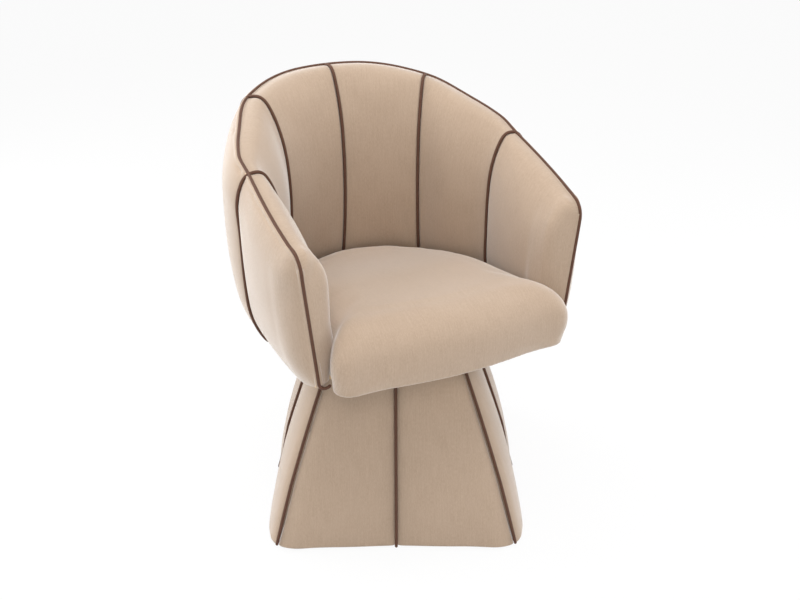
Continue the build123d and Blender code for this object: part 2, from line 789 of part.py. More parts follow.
# Corded seams inside and outside the tub.
inner_cords = []
outer_cords = []
seams = [arm_section(side, 0) for side in (-1, 1)]
seams += [back_section(side, shoulder_seam, shoulder_pad, 0) for side in (-1, 1)]
seams.append(back_section(1, 90, back_pad, 0))
for seam in seams:
    with BuildLine() as inner_path:
        draw_chain(lifted(seam.inner_cord(), seam.plane()))
    inner_cords.append(cord(inner_path, "inner_cord"))
    with BuildLine() as outer_path:
        draw_chain(lifted(seam.outer_cord(), seam.plane()))
    outer_cords.append(cord(outer_path, "outer_cord"))
hand_in_group(inner_cords, "inner_seam_piping")
hand_in_group(outer_cords, "outer_seam_piping")


# Corded rim: up the front of one arm, round the back and down the other arm.
def rim_node(side, turn):
    """The middle of the cord above the wall, and its direction towards the back seam."""
    angle = radians(turn)
    aft = rim_aft(turn)
    half = wall_at(rim_height + rim_slope * aft) + plan_swell(turn)
    spot = (side * half * cos(angle), aft - piping_lift * rim_slope / rim_run)
    way = (-side * sin(angle), cos(angle))
    height = rim_height + rim_slope * aft + piping_lift / rim_run
    return Vector(*turned(*spot, height)), unit(*turned(*way, rim_slope * cos(angle)))


def front_node(side, height):
    """The middle of the cord in front of the wall, and its direction up the arm."""
    spot = (side * wall_at(height), -arm_reach - piping_lift)
    return Vector(*turned(*spot, height)), unit(*turned(side * tub_flare, 0, 1))


def corner_node(side):
    """Where the rim leaves the rounded corner of the arm."""
    spot = (side * wall_at(corner_end_height), corner_end_aft - piping_lift * rim_slope / rim_run)
    height = corner_end_height + piping_lift / rim_run
    return Vector(*turned(*spot, height)), unit(*turned(side * tub_flare * rim_slope, 1, rim_slope))


def hook_node(side):
    """The end of the cord, hooked in under the front of the arm."""
    spot = (side * (wall_at(tip_height) - tip_hook), -arm_reach - piping_lift)
    return Vector(*turned(*spot, tip_height)), unit(*turned(side, 0, -0.5))


def half_rim(side):
    front = [hook_node(side), front_node(side, tip_height + tip_hook), front_node(side, corner_height)]
    return front + [corner_node(side)] + [rim_node(side, turn) for turn in plan_turns]


with BuildLine() as rim_path:
    draw_chain(arc_chain(half_rim(-1)))
    draw_chain(arc_chain([(point, way * -1) for point, way in reversed(half_rim(1))]))
hand_in(cord(rim_path, "rim_piping"), "rim_piping")


# Seat cushion with its crown, over a firm core.
def cushion_outline(inset):
    """Round the cushion from the middle of the rear end, one half and then the other."""
    rear = tub_radius - cushion_rear_gap - inset
    half = tub_radius - cushion_side_gap - inset
    wing = tub_radius - wing_gap - inset
    front = arm_reach + cushion_lead - inset
    neck = arm_reach - neck_back - inset
    run = unit(half - rear, -neck - tub_centre)
    halves = []
    for side in (1, -1):
        halves.append([
            (Vector(0, tub_centre + rear), unit(side, 0)),
            (Vector(side * rear, tub_centre), unit(side * run.X, run.Y)),
            (Vector(side * half, -neck), unit(side * run.X, run.Y)),
            (Vector(side * wing, inset - arm_reach - wing_lead), unit(0, -1)),
            (Vector(side * bow_share * half, cushion_bow - front), unit(-side, -bow_lean)),
            (Vector(0, -front), unit(-side, 0)),
        ])
    return [arc_chain(nodes) for nodes in halves]


def cushion_slab(levels):
    """A soft block through level or sloping outlines; a level is an inset, a height and a tilt."""
    with BuildPart() as slab:
        for inset, height, tilt in levels:
            with BuildSketch(seat_level(height, tilt)):
                with BuildLine():
                    for chain in cushion_outline(inset):
                        draw_chain(chain)
                make_face()
        loft()
    return slab.part


core_top = seat_deck + soft_gap + core_height
crown = seat_deck + cushion_rise
with BuildPart() as seat_core:
    with BuildSketch(seat_level(seat_deck + soft_gap)):
        with BuildLine():
            for chain in cushion_outline(core_inset):
                draw_chain(chain)
        make_face()
    extrude(amount=core_height)
hand_in(seat_core.part, "seat_core")

waist = seat_deck + cushion_waist
levels = [(hem_inset, seat_deck + soft_gap, 0.0)]
for angle in (0, 25, 50, 70, 85):
    lift = sin(radians(angle)) ** cushion_boxy
    inset = crown_inset * (1 - cos(radians(angle)) ** cushion_boxy)
    tilt = cushion_tilt * (waist_tilt + (1 - waist_tilt) * lift)
    levels.append((inset, waist + (crown - waist) * lift, tilt))
with BuildPart() as seat_cushion:
    add(cushion_slab(levels))
    with BuildSketch(seat_level(seat_deck)):
        with BuildLine():
            for chain in cushion_outline(core_inset - soft_gap):
                draw_chain(chain)
        make_face()
    extrude(amount=core_height + 2 * soft_gap, mode=Mode.SUBTRACT)
hand_in(seat_cushion.part, "seat_cushion")
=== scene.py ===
"""Looks of the swivel armchair: an upholstered tub seat that turns on a square tapered base.

Metres, +Z up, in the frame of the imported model.  The seat rests turned on its swivel, so
its own axes, side and aft, are turned with it.
"""
from math import cos, pi, radians, sin

import bmesh
import bpy
import numpy as np
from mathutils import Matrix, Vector


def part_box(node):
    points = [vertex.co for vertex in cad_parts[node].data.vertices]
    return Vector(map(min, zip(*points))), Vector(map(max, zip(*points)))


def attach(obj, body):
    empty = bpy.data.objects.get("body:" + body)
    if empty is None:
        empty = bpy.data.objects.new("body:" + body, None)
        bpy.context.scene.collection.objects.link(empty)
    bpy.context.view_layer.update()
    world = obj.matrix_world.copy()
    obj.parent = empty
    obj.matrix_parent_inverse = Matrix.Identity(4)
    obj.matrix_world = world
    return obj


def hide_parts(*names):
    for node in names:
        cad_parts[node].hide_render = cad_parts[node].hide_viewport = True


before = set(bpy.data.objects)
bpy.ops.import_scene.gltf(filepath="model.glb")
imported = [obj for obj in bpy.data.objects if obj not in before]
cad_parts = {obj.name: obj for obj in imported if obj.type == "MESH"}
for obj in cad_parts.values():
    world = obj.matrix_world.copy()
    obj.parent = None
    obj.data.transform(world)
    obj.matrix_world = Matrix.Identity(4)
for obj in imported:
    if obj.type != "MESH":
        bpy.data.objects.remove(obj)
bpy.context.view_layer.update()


# Plywood: the box of the base, the seat board and the bent wall of the tub.
# Birch plywood, sawn flat or pressed into a curve, glued and screwed, raw where no cover hides it.
class Value:
    """A socket of a finish.  Sums and products of values add Math nodes."""

    def __init__(self, finish, socket):
        self.finish = finish
        self.socket = socket

    def math(self, operation, first, second=0.0):
        return self.finish.node("ShaderNodeMath", {"operation": operation}, {0: first, 1: second})

    def __add__(self, other):
        return self.math("ADD", self, other)

    def __mul__(self, other):
        return self.math("MULTIPLY", self, other)

    __radd__ = __add__
    __rmul__ = __mul__

    def wave(self):
        return self.math("SINE", self)


class Finish:
    """A material and the nodes that draw it."""

    def __init__(self, name, **fixed):
        self.material = bpy.data.materials.new(name)
        self.material.use_nodes = True
        self.tree = self.material.node_tree
        self.surface = self.tree.nodes["Principled BSDF"].inputs
        for socket, value in fixed.items():
            self.surface[socket.replace("_", " ")].default_value = value

    def node(self, kind, settings=None, inputs=None, output=0):
        """Add a node with its settings and its inputs, and give one of its outputs."""
        node = self.tree.nodes.new(kind)
        for name, value in (settings or {}).items():
            setattr(node, name, value)
        for name, value in (inputs or {}).items():
            self.feed(node.inputs[name], value)
        return Value(self, node.outputs[output])

    def feed(self, socket, value):
        """Link a value to a socket of a node, or set a plain number or colour on it."""
        if isinstance(value, Value):
            self.tree.links.new(value.socket, socket)
        else:
            socket.default_value = value

    def show(self, socket, value):
        """Feed a socket of the shader."""
        self.feed(self.surface[socket], value)

    def place(self):
        return self.node("ShaderNodeTexCoord", output="Object")

    def stretched(self, place, by):
        return self.node("ShaderNodeVectorMath", {"operation": "MULTIPLY"}, {0: place, 1: by})

    def clouds(self, place, scale=1.0, detail=2.0, roughness=0.5):
        inputs = {"Vector": place, "Scale": scale, "Detail": detail, "Roughness": roughness}
        return self.node("ShaderNodeTexNoise", None, inputs)

    def mix(self, factor, first, second):
        return self.node("ShaderNodeMix", {"data_type": "RGBA"}, {0: factor, 6: first, 7: second}, 2)

    def between(self, value, low, high):
        """0 below low, 1 above high and smooth from one to the other."""
        inputs = {"Value": value, "From Min": low, "From Max": high}
        return self.node("ShaderNodeMapRange", {"interpolation_type": "SMOOTHSTEP"}, inputs)

    def bump(self, height, depth, strength):
        inputs = {"Height": height, "Distance": depth, "Strength": strength}
        self.show("Normal", self.node("ShaderNodeBump", None, inputs))


def dress(finish, *nodes):
    """Give CAD nodes that keep their own shape a finish."""
    for node in nodes:
        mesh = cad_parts[node].data
        mesh.materials.clear()
        mesh.materials.append(finish.material)


birch = Finish("birch_plywood", Specular_IOR_Level=0.3)
tan_birch = (0.60, 0.43, 0.25, 1)
pale_birch = (0.72, 0.55, 0.35, 1)
pore_brown = (0.45, 0.30, 0.16, 1)
grain_stretch = (7.0, 90.0, 90.0)
flame_stretch = (2.0, 14.0, 14.0)
grain = birch.clouds(birch.stretched(birch.place(), grain_stretch), detail=5.0, roughness=0.6)
flame = birch.clouds(birch.stretched(birch.place(), flame_stretch), detail=3.0)
birch_wood = birch.mix(birch.between(flame, 0.35, 0.65), tan_birch, pale_birch)
birch_pores = birch.between(grain, 0.42, 0.6)
birch.show("Base Color", birch.mix(birch_pores * 0.7, birch_wood, pore_brown))
birch.show("Roughness", 0.55 + 0.2 * grain)
birch.bump(grain, depth=0.0006, strength=0.4)
base_sides = ("front", "right", "rear", "left")
panels = [f"base_{side}_panel" for side in base_sides]
dress(birch, "base_bottom_board", "base_corner_blocks", "base_top_board", "seat_board", "tub_wall", *panels)


# Swivel plate: two pressed plates with a spindle, washer and nut.
# Zinc-plated steel with the faint cloudy lustre of the bath and a few handling marks.
# The lower plate is screwed to the top board of the base, the upper one bolted to the seat board.
zinc = Finish("zinc_plated_steel", Metallic=1.0, Coat_Weight=0.05)
dull_zinc = (0.52, 0.53, 0.55, 1)
bright_zinc = (0.66, 0.66, 0.65, 1)
mark_stretch = (40.0, 700.0, 300.0)
zinc_clouds = zinc.clouds(zinc.place(), scale=60.0, detail=4.0)
mark_clouds = zinc.clouds(zinc.stretched(zinc.place(), mark_stretch), detail=3.0)
zinc_marks = zinc.between(mark_clouds, 0.55, 0.75)
zinc.show("Base Color", zinc.mix(zinc_clouds, dull_zinc, bright_zinc))
zinc.show("Roughness", 0.3 + 0.2 * zinc_clouds + 0.15 * zinc_marks)
zinc.bump(zinc_marks, depth=0.0002, strength=0.3)
dress(zinc, "lower_swivel_plate", "upper_swivel_plate", "swivel_spindle", "spindle_washer", "spindle_nut")
dress(zinc, "base_top_screws", "lower_plate_screws", "upper_plate_bolts")


# Ball ring: eighteen hardened steel balls in a film of grease, spaced by a pressed zinc-plated cage.
# It runs loose between the races of the two plates.
bearing = Finish("polished_bearing_steel", Metallic=1.0, Coat_Weight=0.3, Coat_Roughness=0.2)
clean_steel = (0.78, 0.78, 0.79, 1)
greased_steel = (0.52, 0.47, 0.38, 1)
grease = bearing.between(bearing.clouds(bearing.place(), scale=140.0, detail=3.0), 0.45, 0.7)
bearing.show("Base Color", bearing.mix(grease, clean_steel, greased_steel))
bearing.show("Roughness", 0.08 + 0.25 * grease)
dress(bearing, "bearing_balls")
dress(zinc, "ball_cage")


# Dust covers: two sheets of thin black bonded cloth with a dimpled face.
# They are stapled flat under the base and under the seat board.
bonded = Finish("black_bonded_cloth", Specular_IOR_Level=0.2, Roughness=0.9)
bonded_black = (0.008, 0.008, 0.009, 1)
bonded_grey = (0.035, 0.035, 0.037, 1)
fibre_stretch = (900.0, 500.0, 900.0)
fibres = bonded.clouds(bonded.stretched(bonded.place(), fibre_stretch), detail=4.0, roughness=0.7)
dimples = bonded.node("ShaderNodeTexVoronoi", None, {"Vector": bonded.place(), "Scale": 450.0})
bonded.show("Base Color", bonded.mix(fibres, bonded_black, bonded_grey))
bonded.bump(fibres * 0.6 + dimples, depth=0.0004, strength=0.6)
dress(bonded, "base_dust_cover", "seat_dust_cover")


# Glides: five moulded discs of black nylon, scuffed where they slide on the floor.
# They are nailed into the bottom board.
nylon = Finish("black_nylon", Specular_IOR_Level=0.4)
nylon_black = (0.012, 0.012, 0.013, 1)
scuffed_grey = (0.06, 0.06, 0.06, 1)
scuffs = nylon.between(nylon.clouds(nylon.place(), scale=300.0, detail=5.0, roughness=0.65), 0.5, 0.7)
nylon.show("Base Color", nylon.mix(scuffs, nylon_black, scuffed_grey))
nylon.show("Roughness", 0.35 + 0.35 * scuffs)
nylon.bump(scuffs, depth=0.0002, strength=0.4)
dress(nylon, "base_glides")


# Base covers: eight foam-backed panels of sand-coloured chenille, two to a side of the box.
# They are sewn to the corded seams, drawn tight and stapled under the bottom board.
def thread_of(finish):
    """Where a point lies on its cloth: as a vector, across the warp and along it."""
    thread = finish.node("ShaderNodeAttribute", {"attribute_name": "thread"}, None, "Vector")
    axes = finish.node("ShaderNodeSeparateXYZ", None, {"Vector": thread}).socket.node.outputs
    return thread, Value(finish, axes["X"]), Value(finish, axes["Y"])


chenille = Finish("sand_chenille", Specular_IOR_Level=0.1, Sheen_Weight=0.65, Sheen_Roughness=0.45)
dark_sand = (0.352, 0.26, 0.187, 1)
light_sand = (0.488, 0.37, 0.276, 1)
brushed_sand = (0.45, 0.34, 0.254, 1)
warp_pitch = 0.0016
weft_pitch = 0.0019
warp_wobble = 5.0
weft_wobble = 3.0
wobble_stretch = (300.0, 60.0, 0.0)
slub_stretch = (560.0, 170.0, 0.0)
streak_stretch = (420.0, 22.0, 0.0)
thread, warp_way, weft_way = thread_of(chenille)
wobble = chenille.clouds(chenille.stretched(thread, wobble_stretch))
warp = (warp_way * (2 * pi / warp_pitch) + wobble * warp_wobble).wave()
weft = (weft_way * (2 * pi / weft_pitch) + wobble * weft_wobble).wave()
weave = 0.5 + 0.25 * warp + 0.25 * warp * weft
slub = chenille.clouds(chenille.stretched(thread, slub_stretch), detail=3.0, roughness=0.6)
streak = chenille.clouds(chenille.stretched(thread, streak_stretch))
brushed = chenille.clouds(thread, scale=26.0, detail=3.0)
tone = 0.3 * weave + 0.45 * slub + 0.25 * streak
cloth = chenille.mix(chenille.between(tone, 0.2, 0.8), dark_sand, light_sand)
nap = chenille.between(brushed, 0.35, 0.65)
chenille.show("Base Color", chenille.mix(nap * 0.25, cloth, brushed_sand))
chenille.show("Roughness", 0.8 + 0.15 * weave)
chenille.bump(0.6 * weave + 0.4 * slub, depth=0.0006, strength=0.45)

solids = {}
weld_digits = 6


def solid(node):
    """The welded points and the triangles of a CAD node."""
    if node not in solids:
        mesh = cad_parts[node].data
        points = np.zeros(len(mesh.vertices) * 3)
        mesh.vertices.foreach_get("co", points)
        points, welded = np.unique(points.reshape(-1, 3).round(weld_digits), axis=0, return_inverse=True)
        mesh.calc_loop_triangles()
        corners = np.zeros(len(mesh.loop_triangles) * 3, int)
        mesh.loop_triangles.foreach_get("vertices", corners)
        solids[node] = points, welded.reshape(-1)[corners].reshape(-1, 3)
    return solids[node]


def cut(node, spot, rise, out):
    """The outline of a solid on the plane through spot along rise and out, as points in order.
    Where the plane meets the solid more than once, it is the outline nearest to spot."""
    points, triangles = solid(node)
    height = (points - spot) @ np.cross(rise, out)
    above = height > 0
    ways = {}
    for triangle in triangles[above[triangles].any(1) & ~above[triangles].all(1)]:
        ends = []
        for one, two in ((0, 1), (1, 2), (2, 0)):
            low, high = sorted((triangle[one], triangle[two]))
            if above[low] != above[high]:
                ends.append((low, high))
        for end, other in (ends, ends[::-1]):
            ways.setdefault(end, []).append(other)
    places = {}
    for low, high in ways:
        share = height[low] / (height[low] - height[high])
        places[low, high] = points[low] + share * (points[high] - points[low])
    first = min(places, key=lambda end: np.linalg.norm(places[end] - spot))
    route = [first, ways[first][0]]
    while route[-1] != first:
        onward = [end for end in ways[route[-1]] if end != route[-2]]
        route.append(onward[0])
    return np.array([places[end] for end in route[:-1]])


carrier_pull = 3  # how much more being next to the carrier counts than height


def face_and_back(node, spot, rise, out):
    """An outline in two paths: from its top on the carrier's side over the face that shows to
    its foot, and back along the carrier.  Rise points from foot to top, out off the carrier."""
    loop = cut(node, spot, rise, out)
    rises, outs = (loop - spot) @ rise, (loop - spot) @ out
    top = np.argmax(rises - carrier_pull * outs)
    loop, rises, outs = (np.roll(each, -top, axis=0) for each in (loop, rises, outs))
    foot = np.argmax(-rises - carrier_pull * outs)
    if outs[1:foot].mean() < outs[foot + 1:].mean():
        loop = np.roll(loop[::-1], 1, axis=0)
        foot = len(loop) - foot
    return loop[:foot + 1], np.vstack([loop[foot:], loop[:1]])


def even_points(path, count, crowd=1.0):
    """Points at even steps along a path, or at steps that are finer where it starts."""
    steps = np.r_[0, np.cumsum(np.linalg.norm(np.diff(path, axis=0), axis=1))]
    stops = steps[-1] * np.linspace(0, 1, count) ** crowd
    return np.stack([np.interp(stops, steps, path[:, axis]) for axis in range(3)], axis=1)


class Filled:
    """A closed soft piece that stands for a CAD node, and the cloth over it."""

    def __init__(self, node, mesh):
        self.node = node
        self.piece = bpy.data.objects.new(f"{node}_pad", mesh)
        bpy.context.scene.collection.objects.link(self.piece)
        work = bmesh.new()
        work.from_mesh(mesh)
        bmesh.ops.recalc_face_normals(work, faces=work.faces)
        work.to_mesh(mesh)
        work.free()
        self.form = self.read(mesh, "co")

    def read(self, mesh, what):
        values = np.zeros(len(mesh.vertices) * 3)
        mesh.vertices.foreach_get(what, values)
        return values.reshape(-1, 3)

    def normals(self):
        return self.read(self.piece.data, "normal")

    def mould(self, form):
        """Give the points new places."""
        self.form = form
        self.piece.data.vertices.foreach_set("co", form.ravel())
        self.piece.data.update()

    def lay_thread(self, across, along):
        """Write where each point lies on the cloth: across and along the warp."""
        attribute = self.piece.data.attributes.new("thread", "FLOAT_VECTOR", "POINT")
        attribute.data.foreach_set("vector", np.stack([across, along, 0 * along], axis=-1).ravel())

    def finish(self, body, fill):
        """Round the cover off, dress it, hang it on its body and hide the CAD node it stands for."""
        smooth = self.piece.modifiers.new("smooth", "SUBSURF")
        smooth.levels = smooth.render_levels = 1
        mesh = self.piece.data
        mesh.polygons.foreach_set("use_smooth", [True] * len(mesh.polygons))
        mesh.materials.clear()
        mesh.materials.append(chenille.material)
        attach(self.piece, body)
        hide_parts(self.node)


class Pad(Filled):
    """A pad made of outlines side by side: each row is a face and the back behind it."""

    def __init__(self, node, outlines, face_count, crowd=1.0):
        rows = []
        for face, back in outlines:
            shown = even_points(face, face_count, crowd)
            hidden = even_points(back, face_count + 2)[1:-1]
            rows.append(np.vstack([shown, hidden]))
        self.grid = np.array(rows)
        self.face_count = face_count
        count, ring = self.grid.shape[:2]
        faces = []
        for row in range(count - 1):
            for step in range(ring):
                onward = (step + 1) % ring
                corners = ((row, step), (row, onward), (row + 1, onward), (row + 1, step))
                faces.append([line * ring + place for line, place in corners])
        for row in (0, (count - 1) * ring):
            for step in range(face_count - 1):
                corners = (step, step + 1, ring - 1 - step - 1, ring - 1 - step)
                faces.append([row + place for place in corners])
        mesh = bpy.data.meshes.new(f"{node}_pad")
        mesh.from_pydata(self.grid.reshape(-1, 3).tolist(), [], faces)
        super().__init__(node, mesh)

    def spans(self):
        """Lengths on the cloth from the middle row, across the rows, and along each row."""
        over = np.linalg.norm(np.diff(self.grid, axis=0), axis=2)
        over = np.vstack([np.zeros((1, over.shape[1])), np.cumsum(over, axis=0)])
        along = np.linalg.norm(np.diff(self.grid, axis=1), axis=2)
        along = np.hstack([np.zeros((len(along), 1)), np.cumsum(along, axis=1)])
        return over - over[len(over) // 2], along - along[:, self.face_count - 1:self.face_count]

    def held(self):
        """The points that are sewn into a seam, glued to the carrier or under the piece."""
        held = np.zeros(self.grid.shape[:2], bool)
        held[0] = held[-1] = True
        held[:, self.face_count - 1:] = True
        held[:, 0] = True
        return held.ravel()

    def plump(self, depth):
        """Fill the face out between its seams, most in its middle."""
        over, along = np.linspace(0, pi, len(self.grid)), np.linspace(0, pi, self.face_count)
        rise = np.zeros(self.grid.shape[:2])
        rise[:, :self.face_count] = depth * np.outer(np.sin(over), np.sin(along))
        self.mould(self.form + rise.reshape(-1, 1) * self.normals())

    def sink(self, row, depth):
        """Draw one row of the face down into its seam."""
        drop = np.zeros(self.grid.shape)
        drop[row, :self.face_count] = depth * self.normals().reshape(self.grid.shape)[row, :self.face_count]
        self.mould(self.form - drop.reshape(-1, 3))


evening_rounds = 8


def evened(pad, move, held):
    """Moves of a pad's points, averaged with those of their neighbours so that no crease is left."""
    ends = np.zeros(len(pad.piece.data.edges) * 2, int)
    pad.piece.data.edges.foreach_get("vertices", ends)
    count = np.bincount(ends, minlength=len(move))[:, None]
    one, two = ends.reshape(-1, 2).T
    for _ in range(evening_rounds):
        near = np.zeros(move.shape)
        np.add.at(near, one, move[two])
        np.add.at(near, two, move[one])
        move = np.where(held[:, None], move, (move + near / count) / 2)
    return move


filling_moments = 20
least_reach = 1e-9


def stuff(pads, slack, swell, pressure):
    """Fill pads by cloth simulation: each starts slack and swells until its seams hold it,
    but no point of it moves further than swell."""
    for pad in pads:
        pad.full = pad.form
        pad.fixed = held = pad.held()
        pad.mould(pad.form - slack * pad.normals() * ~held[:, None])
        sewn = pad.piece.vertex_groups.new(name="sewn")
        sewn.add(np.flatnonzero(held).tolist(), 1.0, "REPLACE")
        cloth = pad.piece.modifiers.new("cloth", "CLOTH")
        cloth.settings.use_pressure = True
        cloth.settings.uniform_pressure_force = pressure
        cloth.settings.effector_weights.gravity = 0.0
        cloth.settings.vertex_group_mass = "sewn"
        cloth.collision_settings.use_collision = False
    for moment in range(1, filling_moments + 1):
        bpy.context.scene.frame_set(moment)
    ready = bpy.context.evaluated_depsgraph_get()
    blown = [pad.read(pad.piece.evaluated_get(ready).data, "co").copy() for pad in pads]
    for pad, form in zip(pads, blown):
        pad.piece.modifiers.clear()
        pad.piece.vertex_groups.clear()
        move = form - pad.full
        reach = np.linalg.norm(move, axis=1, keepdims=True)
        move = move * np.minimum(1.0, swell / np.maximum(reach, least_reach))
        pad.mould(pad.full + evened(pad, move, pad.fixed))
    bpy.context.scene.frame_set(1)


hem_edge = 0.003
hem_turn = 0.008


def with_hem(start, stop, count):
    """Places from start to stop, close together next to both ends, where the cloth turns in."""
    places = np.linspace(start + hem_turn, stop - hem_turn, count)
    return np.r_[start, start + hem_edge, places, stop - hem_edge, stop]


base_half = 0.232
base_lean = 0.318
base_height = 0.326
corner_inset = 0.0135
corner_push = 0.014
flank_push = 0.003
flank_start = 0.7
foot_push = 0.005
foot_height = 0.05
flank_peak = 4 / 27  # the most that turn**2 * (1 - turn) comes to


def squared(points):
    """Points of the base squared near the floor: the front and the rear run flat from corner
    to corner, the sides turn tightly to meet them and no seam draws the foot in."""
    half = base_half - base_lean * points[:, 2]
    reach = abs(points[:, :2])
    near = reach.min(axis=1)
    share = np.clip((near - half / 2) / (half / 2 - corner_inset), 0.0, 1.0)
    low = 1 - points[:, 2] / base_height
    moved = points.copy()
    moved[:, 1] += np.sign(points[:, 1]) * corner_push * share**2 * low
    turn = np.clip((share - flank_start) / (1 - flank_start), 0.0, 1.0)
    flank = flank_push / flank_peak * turn**2 * (1 - turn) * low
    moved[:, 0] += np.sign(points[:, 0]) * np.where(reach[:, 0] > reach[:, 1], flank, 0.0)
    seam = np.clip(1 - 2 * near / half, 0.0, 1.0) ** 2
    foot = foot_push * seam * np.clip(1 - points[:, 2] / foot_height, 0.0, 1.0)
    rows, ahead = np.arange(len(points)), reach.argmax(axis=1)
    moved[rows, ahead] += np.sign(points[rows, ahead]) * foot
    return moved


base_low, base_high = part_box("base_front_cover_a")
cover_ends = 0.0004
cover_rows = 28
cover_face = 30
cover_bottom_round = 0.0012
cover_plump = {"front": 0.004, "right": 0.005, "rear": 0.004, "left": 0.005}
up = np.array([0.0, 0.0, 1.0])
cover_pads = []
for number, side in enumerate(base_sides):
    turn = number * pi / 2
    out = np.array([sin(turn), -cos(turn), 0.0])
    for half, sign in (("a", -1), ("b", 1)):
        rise = sign * np.array([cos(turn), sin(turn), 0.0])
        name = f"base_{side}_cover_{half}"
        outlines = []
        for level in with_hem(base_low.z + cover_ends, base_high.z - cover_ends, cover_rows):
            outline = face_and_back(name, np.array([0.0, 0.0, level]), rise, out)
            outlines.append([squared(points) for points in outline])
        outlines[0] = [points - cover_bottom_round * out for points in outlines[0]]
        pad = Pad(name, outlines, cover_face)
        pad.plump(cover_plump[side])
        up_the_side, from_middle = pad.spans()
        pad.lay_thread(sign * from_middle, up_the_side)
        cover_pads.append(pad)
stuff(cover_pads, slack=0.0015, swell=0.003, pressure=4.0)
for pad in cover_pads:
    pad.finish("base", fill=0.9)


# Base piping: cord wrapped in dark brown cloth that is cut on the bias.
# It is sewn between the cover panels, up each corner and up the middle of each side.
brown = Finish("brown_piping_cloth", Specular_IOR_Level=0.2, Sheen_Weight=0.1, Sheen_Roughness=0.4)
dark_brown = (0.09, 0.042, 0.026, 1)
worn_brown = (0.145, 0.07, 0.046, 1)
groove_brown = (0.05, 0.024, 0.014, 1)
rib_rate = 6500.0  # radians of the rib wave to a metre of cloth
brown_thread, round_cord, along_cord = thread_of(brown)
ribs = 0.5 + 0.5 * ((round_cord + along_cord) * rib_rate).wave()
worn = brown.clouds(brown_thread, scale=120.0, detail=4.0)
brown_cloth = brown.mix(worn, dark_brown, worn_brown)
brown.show("Base Color", brown.mix(ribs * 0.3, brown_cloth, groove_brown))
brown.show("Roughness", 0.6 + 0.2 * worn)
brown.bump(ribs, depth=0.0003, strength=0.4)

cord_radius = 0.0028
cord_sides = 14
cord_step = 0.004
cord_tip = (0.3, 0.75, 1.0)  # shares of the radius at an end of a cord
aslant = (0.3, 0.2, 0.9)  # a way that no cord runs along
cord_foot = 0.007
cord_head = 0.004
cord_levels = 16
corner_cord_proud = (-0.0026, 0.0)
middle_cord_proud = (0.003, 0.003)
flank_cord_proud = (-0.004, 0.0065)
proud_height = 0.11


def cord_rings(path):
    """Rings round a path, drawn in at both ends, and how far each is along the cord.  Each ring
    keeps the turn of the one before it."""
    length = np.linalg.norm(np.diff(path, axis=0), axis=1).sum()
    path = even_points(path, int(length / cord_step) + 2)
    way = np.gradient(path, axis=0)
    way /= np.linalg.norm(way, axis=1, keepdims=True)
    side = np.cross(way[0], aslant)
    rings, places = [], []
    for number, (spot, ahead) in enumerate(zip(path, way)):
        side = side - ahead * (side @ ahead)
        side = side / np.linalg.norm(side)
        other = np.cross(ahead, side)
        turns = np.linspace(0, 2 * pi, cord_sides, endpoint=False)[:, None]
        ring = cord_radius * (np.cos(turns) * side + np.sin(turns) * other)
        shares = {0: cord_tip, len(path) - 1: cord_tip[::-1]}.get(number, (1.0,))
        onward = ahead if number else -ahead
        for share in shares:
            rings.append(spot + share * ring + onward * cord_radius * (1 - share) ** 0.5)
            places.append(number * cord_step)
    return rings, places


def piping(node, body, paths):
    """Cords along paths, in one piece that stands for a CAD node."""
    points, faces, threads = [], [], []
    for path in paths:
        rings, places = cord_rings(path)
        first = len(points)
        for ring, place in zip(rings, places):
            points.extend(ring.tolist())
            for step in range(cord_sides):
                threads.append((step * 2 * pi * cord_radius / cord_sides, place, 0.0))
        for row in range(len(rings) - 1):
            for step in range(cord_sides):
                onward = (step + 1) % cord_sides
                low, high = first + row * cord_sides, first + (row + 1) * cord_sides
                faces.append((low + step, low + onward, high + onward, high + step))
        faces.append(list(range(first, first + cord_sides))[::-1])
        faces.append(list(range(len(points) - cord_sides, len(points))))
    mesh = bpy.data.meshes.new(f"{node}_cord")
    mesh.from_pydata(points, [], faces)
    attribute = mesh.attributes.new("thread", "FLOAT_VECTOR", "POINT")
    attribute.data.foreach_set("vector", np.ravel(threads))
    mesh.polygons.foreach_set("use_smooth", [True] * len(mesh.polygons))
    mesh.materials.append(brown.material)
    piece = bpy.data.objects.new(f"{node}_cord", mesh)
    bpy.context.scene.collection.objects.link(piece)
    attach(piece, body)
    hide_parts(node)


def upright_cord(node, way, proud):
    """The middle of the cord that is furthest along way, from the floor up.  It stands proud
    of its seam by two amounts, at the floor and from proud_height up: forward or back in the
    middle of the front or the rear, and sideways elsewhere."""
    low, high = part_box(node)
    path = []
    for level in np.linspace(low.z + cord_foot, high.z - cord_head, cord_levels):
        spot = np.array([way[0], way[1], level])
        path.append(cut(node, spot, *np.eye(3)[:2]).mean(axis=0))
    path = squared(np.array(path))
    stand = np.interp(path[:, 2], (0.0, proud_height), proud)
    off = (way[0], 0.0, 0.0) if way[0] else (0.0, way[1], 0.0)
    return path + np.outer(stand, off)


corner_ways = [(x, y) for x in (-1.0, 1.0) for y in (-1.0, 1.0)]
middle_ways = [(0.0, -1.0), (0.0, 1.0)]
flank_ways = [(1.0, 0.0), (-1.0, 0.0)]
corner_cords = [upright_cord("base_corner_piping", way, corner_cord_proud) for way in corner_ways]
piping("base_corner_piping", "base", corner_cords)
middle_cords = [upright_cord("base_middle_piping", way, middle_cord_proud) for way in middle_ways]
middle_cords += [upright_cord("base_middle_piping", way, flank_cord_proud) for way in flank_ways]
piping("base_middle_piping", "base", middle_cords)


